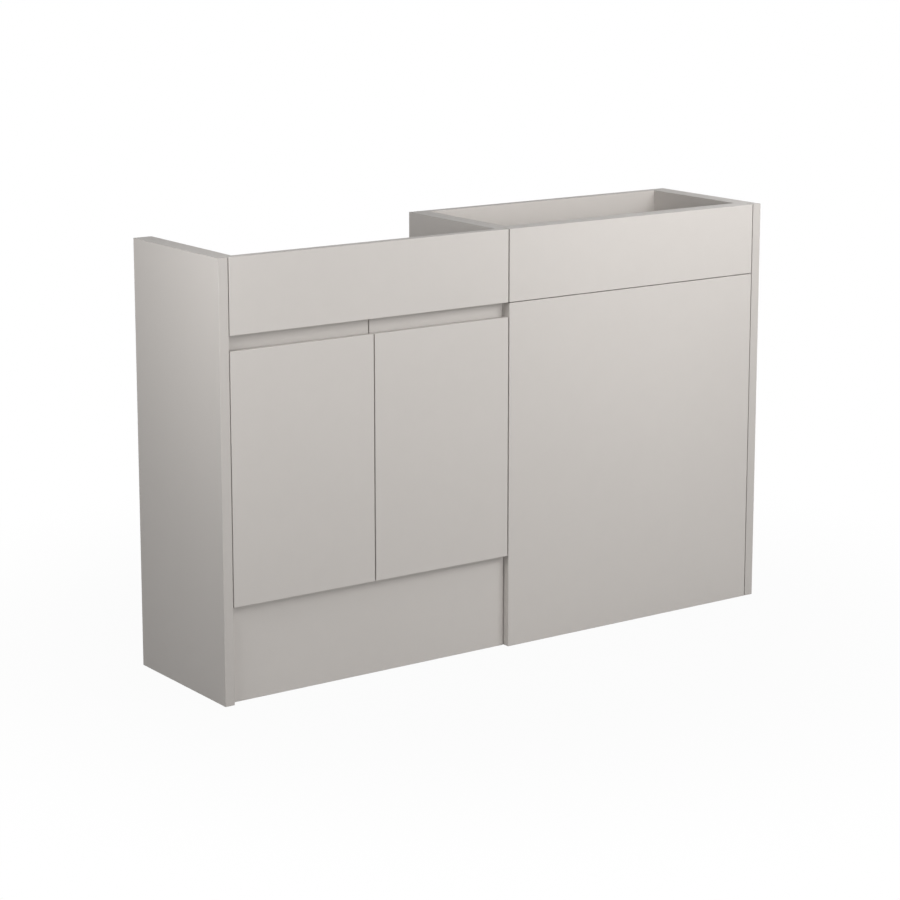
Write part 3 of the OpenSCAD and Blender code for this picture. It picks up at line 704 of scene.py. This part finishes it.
def foot_piece(node):
    """A height-adjusting foot: ribbed pad, threaded stem with a plain end inside the socket."""
    shapes = bpy.context.scene.run_shapes
    low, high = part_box(node)
    middle = ((low.x + high.x) / 2, (low.y + high.y) / 2)
    pad_r, top = (high.x - low.x) / 2, high.z
    core_r, crest_r = STEM_R - shapes.thread_depth, STEM_R - CREST_IN
    rings = [(pad_r + out * MM, height * MM) for out, height in PAD_RINGS]
    rings += [(STEM_R + out * MM, height * MM) for out, height in COLLAR_RINGS]
    rings.append((core_r, COLLAR_TOP))
    height = THREAD_FROM
    while height < THREAD_TO:
        rings.append((core_r, height))
        rings += [(crest_r, height + part * shapes.thread_pitch) for part in CREST_SPAN]
        rings.append((core_r, height + THREAD_END * shapes.thread_pitch))
        height += shapes.thread_pitch
    rings += [
        (core_r, height),
        (STEM_R, height + STEM_CHAMFER / 2),
        (STEM_R, top - STEM_CHAMFER),
        (STEM_R - STEM_CHAMFER, top),
    ]
    body = turned(node + "_turned", middle, rings)
    x, y = middle
    plate = rib(
        node + "_rib",
        (x + STEM_R + RIB_START, y - RIB_HALF, PAD_H - RIB_BITE),
        (x + pad_r - RIB_END, y + RIB_HALF, PAD_H + RIB_H),
        -RIB_CUT,
    )
    ribs = round_copies(plate, middle, shapes.pad_ribs)
    settle(joined(node + "_foot", [body, *ribs]), node, finish("moulded_plastic"))


def socket_piece():
    """The leg sockets with the gussets under their flanges."""
    node = "leg_sockets"
    piece = merged_copy(node, node + "_moulded")
    soften(piece, bpy.context.scene.run_shapes.mould_edge)
    parts = [piece]
    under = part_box(node)[1].z - SOCKET_FLANGE
    for foot in FEET:
        low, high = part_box(foot)
        x, y = (low.x + high.x) / 2, (low.y + high.y) / 2
        plate = rib(
            foot + "_gusset",
            (x + GUSSET_START, y - GUSSET_HALF, under - GUSSET_H),
            (x + GUSSET_END, y + GUSSET_HALF, under + GUSSET_BITE),
            GUSSET_CUT,
        )
        parts += round_copies(plate, (x, y), GUSSETS)
    settle(joined(node + "_moulded", parts), node, finish("moulded_plastic"))


# ---- Hinges and fixings ----

# A hinge's adjusting screws: the head's radius and rounded rim, the ring inside it, and the
# cross, whose waist and taper are shares of the ring and of the cross at the head's face
HEAD_R = 2.7 * MM
HEAD_RIM = 0.35 * MM
HEAD_INNER = 0.8 * HEAD_R
CROSS_HALF = 0.6 * MM
CROSS_WAIST = 0.45
CROSS_TAPER = 0.7
CROSS_DEPTH = 1.2 * MM
HEAD_STEPS = 24
# Their places: below the arm's face, from the mounting plate's two ends, and from the arm's edges
SCREW_IN = 0.2 * MM
SCREW_FORE = 14.0 * MM
SCREW_BACK = 12.0 * MM
SCREW_EDGE = 9.5 * MM
# Small clips are softened by this share of the moulded edge
CLIP_EDGE = 0.6


def pressed_piece(node):
    """A pressed steel part with softened edges."""
    piece = merged_copy(node, node + "_pressed")
    soften(piece, bpy.context.scene.run_shapes.press_edge)
    settle(piece, node, finish("zinc_plate"))


def adjusting_screw(name, seat, reach, way):
    """A cross-head screw along X: seat is the middle of its head, reach how deep it goes, and
    way the way that it faces."""
    only()
    bpy.ops.mesh.primitive_cylinder_add(
        vertices=HEAD_STEPS,
        radius=HEAD_R,
        depth=reach,
        location=seat - Vector((way * reach / 2, 0, 0)),
        rotation=(0, math.pi / 2, 0),
    )
    piece = bpy.context.active_object
    piece.name = name
    bpy.ops.object.transform_apply(location=True, rotation=True, scale=True)

    def at_seat(place):
        return abs(place.x - seat.x) < SAME_PLACE

    def inside(vert):
        return (vert.co - seat).yz.length < HEAD_INNER

    def off_cross(vert):
        """The inner ring's corners that aren't on an arm of the cross."""
        off = min(abs(part) for part in (vert.co - seat).yz)
        return at_seat(vert.co) and inside(vert) and off > CROSS_HALF

    def is_head(face):
        return len(face.verts) == HEAD_STEPS and at_seat(face.calc_center_median())

    def is_cross(face):
        return at_seat(face.calc_center_median()) and all(inside(vert) for vert in face.verts)

    with Editing(piece) as work:
        work.pick("edges", lambda edge: all(at_seat(vert.co) for vert in edge.verts))
        bpy.ops.mesh.bevel(offset=HEAD_RIM, segments=2, affect="EDGES")
        work.pick("faces", is_head)
        bpy.ops.mesh.inset(thickness=HEAD_RIM)
        work.pick("verts", off_cross)
        bpy.ops.transform.resize(value=(1, CROSS_WAIST, CROSS_WAIST), center_override=seat)
        work.pick("faces", is_cross)
        bpy.ops.mesh.extrude_region_move(
            TRANSFORM_OT_translate={"value": (-way * CROSS_DEPTH, 0, 0)}
        )
        bpy.ops.transform.resize(value=(1, CROSS_TAPER, CROSS_TAPER), center_override=seat)
    return smoothed(piece)


def hinge_screws(side, way):
    """The two adjusting screws of each hinge on one side, in the holes of its arm."""
    arms, plates = f"{side}_hinge_arms", f"{side}_hinge_plates"
    low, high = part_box(arms)
    plate_low, plate_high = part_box(plates)
    head = high.x if way > 0 else low.x
    foot = plate_high.x if way > 0 else plate_low.x
    seats = [
        Vector((head - way * SCREW_IN, y, z))
        for y in (plate_low.y + SCREW_FORE, plate_high.y - SCREW_BACK)
        for z in (low.z + SCREW_EDGE, high.z - SCREW_EDGE)
    ]
    first = adjusting_screw(f"{side}_hinge_screw_1", seats[0], abs(seats[0].x - foot), way)
    screws = [first]
    for i, seat in enumerate(seats[1:], 2):
        only(first)
        bpy.ops.object.duplicate()
        copy = bpy.context.active_object
        copy.name = f"{side}_hinge_screw_{i}"
        copy.data.transform(Matrix.Translation(seat - seats[0]))
        screws.append(copy)
    for screw in screws:
        screw.data.materials.append(finish("zinc_plate"))
        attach(screw, BODY_OF[arms])


def moulded_piece(node):
    """A small moulded part with softened edges."""
    piece = merged_copy(node, node + "_moulded")
    soften(piece, bpy.context.scene.run_shapes.mould_edge * CLIP_EDGE)
    settle(piece, node, finish("moulded_plastic"))


def repaint(node, name):
    """Gives the run's own finish to a CAD node that keeps its shape."""
    slots = frame["nodes"][node].material_slots
    if not slots:
        raise RuntimeError(f"{node} has no material slot")
    for slot in slots:
        slot.material = finish(name)


# ---- Studio ----

# Each lamp's place, the point that it looks at, its width and height, and whether metal shows it
LAMPS = {
    "fill": ((-1.6, -3.2, 0.9), (0.0, -0.15, 0.5), (1.6, 1.0), True),
    "key": ((0.66, -1.28, 1.32), (0.36, -0.15, 0.6), (1.1, 0.8), True),
    "side": ((-1.35, -0.4, 1.12), (-0.62, 0.0, 0.65), (0.5, 0.5), True),
    "right": ((2.2, 0.6, 1.35), (0.6, 0.0, 0.55), (1.2, 0.6), True),
    "rear": ((0.2, 2.4, 0.5), (0.0, 0.15, 0.45), (2.4, 0.7), False),
}
# How far the floor is white, and the distances from its middle between which that changes
FLOOR_WHITE = (0.96, 1.0)
FLOOR_FADE = (0.5, 1.4)
FLOOR_STEPS = 96
SENSOR_WIDTH = 36.0
CLIP_END = 60.0


def lamp(name, place, aim, size, watts, mirrored):
    """A rectangular soft lamp that looks at a point, mirrored in metal or not."""
    data = bpy.data.lights.new(name, "AREA")
    data.shape, data.size, data.size_y, data.energy = "RECTANGLE", *size, watts
    obj = bpy.data.objects.new(name, data)
    obj.location = place
    obj.rotation_mode = "QUATERNION"
    obj.rotation_quaternion = (Vector(aim) - Vector(place)).to_track_quat("-Z", "Y")
    obj.visible_camera = False
    obj.visible_glossy = mirrored
    bpy.context.scene.collection.objects.link(obj)


def seen_white(tree, output, glow, lit, part=None):
    """Shows a surface white to the camera and to gloss, wholly or in part, and in its own
    colour to all other light."""
    path = tree.add("ShaderNodeLightPath").outputs
    gloss = tree.math("MAXIMUM", path["Is Glossy Ray"], path["Is Transmission Ray"])
    white = tree.math("MAXIMUM", path["Is Camera Ray"], gloss)
    if part is not None:
        white = tree.math("MULTIPLY", white, part)
    glow.inputs["Color"].default_value = WHITE
    glow.inputs["Strength"].default_value = 1.0
    mix = tree.add("ShaderNodeMixShader")
    tree.join(white, mix, "Fac")
    tree.join(lit.outputs[0], mix, 1)
    tree.join(glow.outputs[0], mix, 2)
    tree.join(mix.outputs[0], output, "Surface")


def studio_floor(studio):
    """A pale disc that fades to white away from the run and keeps the run's shadow."""
    only()
    bpy.ops.mesh.primitive_circle_add(
        vertices=FLOOR_STEPS, radius=studio.floor_size, fill_type="NGON"
    )
    floor = bpy.context.active_object
    floor.name = "studio_floor"
    material = bpy.data.materials.new("studio_floor")
    tree = Tree(material)
    tree.nodes.clear()
    output = tree.add("ShaderNodeOutputMaterial")
    diffuse = tree.add("ShaderNodeBsdfDiffuse")
    diffuse.inputs["Color"].default_value = (*studio.floor_colour, 1.0)
    reach = tree.add("ShaderNodeVectorMath", operation="LENGTH")
    tree.join(tree.add("ShaderNodeTexCoord").outputs["Object"], reach, 0)
    fade = tree.span(reach.outputs["Value"], *FLOOR_WHITE, *FLOOR_FADE, kind="SMOOTHSTEP")
    seen_white(tree, output, tree.add("ShaderNodeEmission"), diffuse, fade)
    floor.data.materials.append(material)


def studio_world(studio):
    """Even light from all round, white where the camera sees it."""
    world = bpy.data.worlds.new("studio_room")
    tree = Tree(world)
    tree.nodes.clear()
    output = tree.add("ShaderNodeOutputWorld")
    dim = tree.add("ShaderNodeBackground")
    dim.inputs["Color"].default_value = WHITE
    dim.inputs["Strength"].default_value = studio.room_light
    seen_white(tree, output, tree.add("ShaderNodeBackground"), dim)
    bpy.context.scene.world = world


def studio_camera(studio):
    """The camera, with its axis turned and tipped by the studio's angles."""
    data = bpy.data.cameras.new("studio_camera")
    data.sensor_width, data.lens = SENSOR_WIDTH, studio.camera_lens
    data.shift_y = studio.camera_rise
    data.clip_end = CLIP_END
    cam = bpy.data.objects.new("studio_camera", data)
    bpy.context.scene.collection.objects.link(cam)
    cam.location = studio.camera_place
    yaw, pitch = studio.camera_yaw, studio.camera_pitch
    look = Vector(
        (math.sin(yaw) * math.cos(pitch), math.cos(yaw) * math.cos(pitch), -math.sin(pitch))
    )
    cam.rotation_mode = "QUATERNION"
    cam.rotation_quaternion = look.to_track_quat("-Z", "Y")
    bpy.context.scene.camera = cam


# ---- Operators ----

# The nodes that each operator finishes
END_PANELS = ["left_end_panel", "right_end_panel"]
BASIN_SIDES = ["basin_side_left", "basin_side_right"]
WC_SIDES = ["wc_side_left", "wc_side_right"]
BASIN_BOARDS = ["basin_base_panel", "basin_front_rail", "basin_rear_rail", "basin_back_panel"]
WC_RAILS = [
    "wc_front_top_rail",
    "wc_mid_rail",
    "wc_bottom_rail",
    "wc_rear_top_rail",
    "wc_rear_lower_rail",
]
FIXED_FRONTS = ["basin_fascia", "wc_front_panel"]
DOOR_BOARDS = ["left_door_panel", "right_door_panel"]
FINGER_STRIPS = ["left_finger_strip", "right_finger_strip"]
PULL_OFF_BOARDS = ["wc_access_panel", "plinth_board"]
FEET = ["foot_front_left", "foot_front_right", "foot_rear_left", "foot_rear_right"]
HINGE_PARTS = ("plates", "arms", "links", "cups")
PRESSED = ["wall_brackets"] + [f"{side}_hinge_{part}" for side in SIDES for part in HINGE_PARTS]
MOULDED = ["panel_clip_sockets", "panel_clip_studs", "plinth_clips"]


class RUN_OT_end_panels(bpy.types.Operator):
    """Finish the two end panels"""

    bl_idname = "run.end_panels"
    bl_label = "End panels"

    def execute(self, context):
        for node in END_PANELS:
            board_piece(node)
        return {"FINISHED"}


class RUN_OT_basin_carcass(bpy.types.Operator):
    """Finish the basin unit's sides, base, rails and back"""

    bl_idname = "run.basin_carcass"
    bl_label = "Basin unit's carcass"

    def execute(self, context):
        for node in BASIN_SIDES:
            board_piece(node, raw_rear=True)
        for node in BASIN_BOARDS:
            board_piece(node)
        return {"FINISHED"}


class RUN_OT_wc_carcass(bpy.types.Operator):
    """Finish the WC unit's sides and rails"""

    bl_idname = "run.wc_carcass"
    bl_label = "WC unit's carcass"

    def execute(self, context):
        for node in WC_SIDES:
            board_piece(node, raw_rear=True)
        for node in WC_RAILS:
            board_piece(node)
        return {"FINISHED"}


class RUN_OT_fronts(bpy.types.Operator):
    """Finish the fascia, the WC panels, the doors with their finger strips, and the plinth"""

    bl_idname = "run.fronts"
    bl_label = "Fronts"

    def execute(self, context):
        for node in FIXED_FRONTS + DOOR_BOARDS + PULL_OFF_BOARDS:
            board_piece(node)
        for node in FINGER_STRIPS:
            # The finger strips take the edge band's darker foil all over: painted shade for their
            # recess under the fascia
            board_piece(node, foil="edge_band")
        return {"FINISHED"}


class RUN_OT_hinges(bpy.types.Operator):
    """Finish the hinges and the wall brackets"""

    bl_idname = "run.hinges"
    bl_label = "Hinges and brackets"

    def execute(self, context):
        for node in PRESSED:
            pressed_piece(node)
        for side, way in zip(SIDES, (1, -1)):
            hinge_screws(side, way)
        return {"FINISHED"}


class RUN_OT_fixings(bpy.types.Operator):
    """Finish the screws, bolts, cams, pins, clips and bumpers"""

    bl_idname = "run.fixings"
    bl_label = "Fixings"

    def execute(self, context):
        for node in MOULDED:
            moulded_piece(node)
        for node in nodes_in("zinc_steel"):
            if node not in PRESSED:
                repaint(node, "zinc_plate")
        for node in nodes_in("dark_plastic"):
            if node not in MOULDED + FEET + ["leg_sockets"]:
                repaint(node, "moulded_plastic")
        return {"FINISHED"}


class RUN_OT_legs(bpy.types.Operator):
    """Build the adjusting feet and their sockets"""

    bl_idname = "run.legs"
    bl_label = "Legs"

    def execute(self, context):
        for node in FEET:
            foot_piece(node)
        socket_piece()
        return {"FINISHED"}


class RUN_OT_studio(bpy.types.Operator):
    """Set up the floor, the light and the camera"""

    bl_idname = "run.studio"
    bl_label = "Studio"

    def execute(self, context):
        studio = context.scene.run_studio
        context.scene.view_settings.view_transform = "Standard"
        studio_floor(studio)
        studio_world(studio)
        studio_camera(studio)
        for name, (place, aim, size, mirrored) in LAMPS.items():
            watts = getattr(studio, name + "_power")
            lamp(name + "_lamp", place, aim, size, watts, mirrored)
        return {"FINISHED"}


OPERATORS = [
    RUN_OT_end_panels,
    RUN_OT_basin_carcass,
    RUN_OT_wc_carcass,
    RUN_OT_fronts,
    RUN_OT_hinges,
    RUN_OT_fixings,
    RUN_OT_legs,
    RUN_OT_studio,
]


class RUN_PT_bathroom(bpy.types.Panel):
    """The run's steps and sizes"""

    bl_idname = "RUN_PT_bathroom"
    bl_label = "Bathroom run"
    bl_space_type = "VIEW_3D"
    bl_region_type = "UI"
    bl_category = "Bathroom run"

    def draw(self, context):
        for operator in OPERATORS:
            self.layout.operator(operator.bl_idname)
        for name in GROUPS:
            box = self.layout.box()
            group = getattr(context.scene, name)
            for key in group.bl_rna.properties.keys():
                if key not in ("rna_type", "name"):
                    box.prop(group, key)


CLASSES = [*GROUPS.values(), *OPERATORS, RUN_PT_bathroom]


def register():
    for item in CLASSES:
        bpy.utils.register_class(item)
    for name, group in GROUPS.items():
        setattr(bpy.types.Scene, name, bpy.props.PointerProperty(type=group))


def unregister():
    for name in GROUPS:
        delattr(bpy.types.Scene, name)
    for item in reversed(CLASSES):
        bpy.utils.unregister_class(item)


def main():
    register()
    bpy.ops.run.end_panels()
    bpy.ops.run.basin_carcass()
    bpy.ops.run.wc_carcass()
    bpy.ops.run.fronts()
    bpy.ops.run.hinges()
    bpy.ops.run.fixings()
    bpy.ops.run.legs()
    bpy.ops.run.studio()


if __name__ == "__main__":
    main()
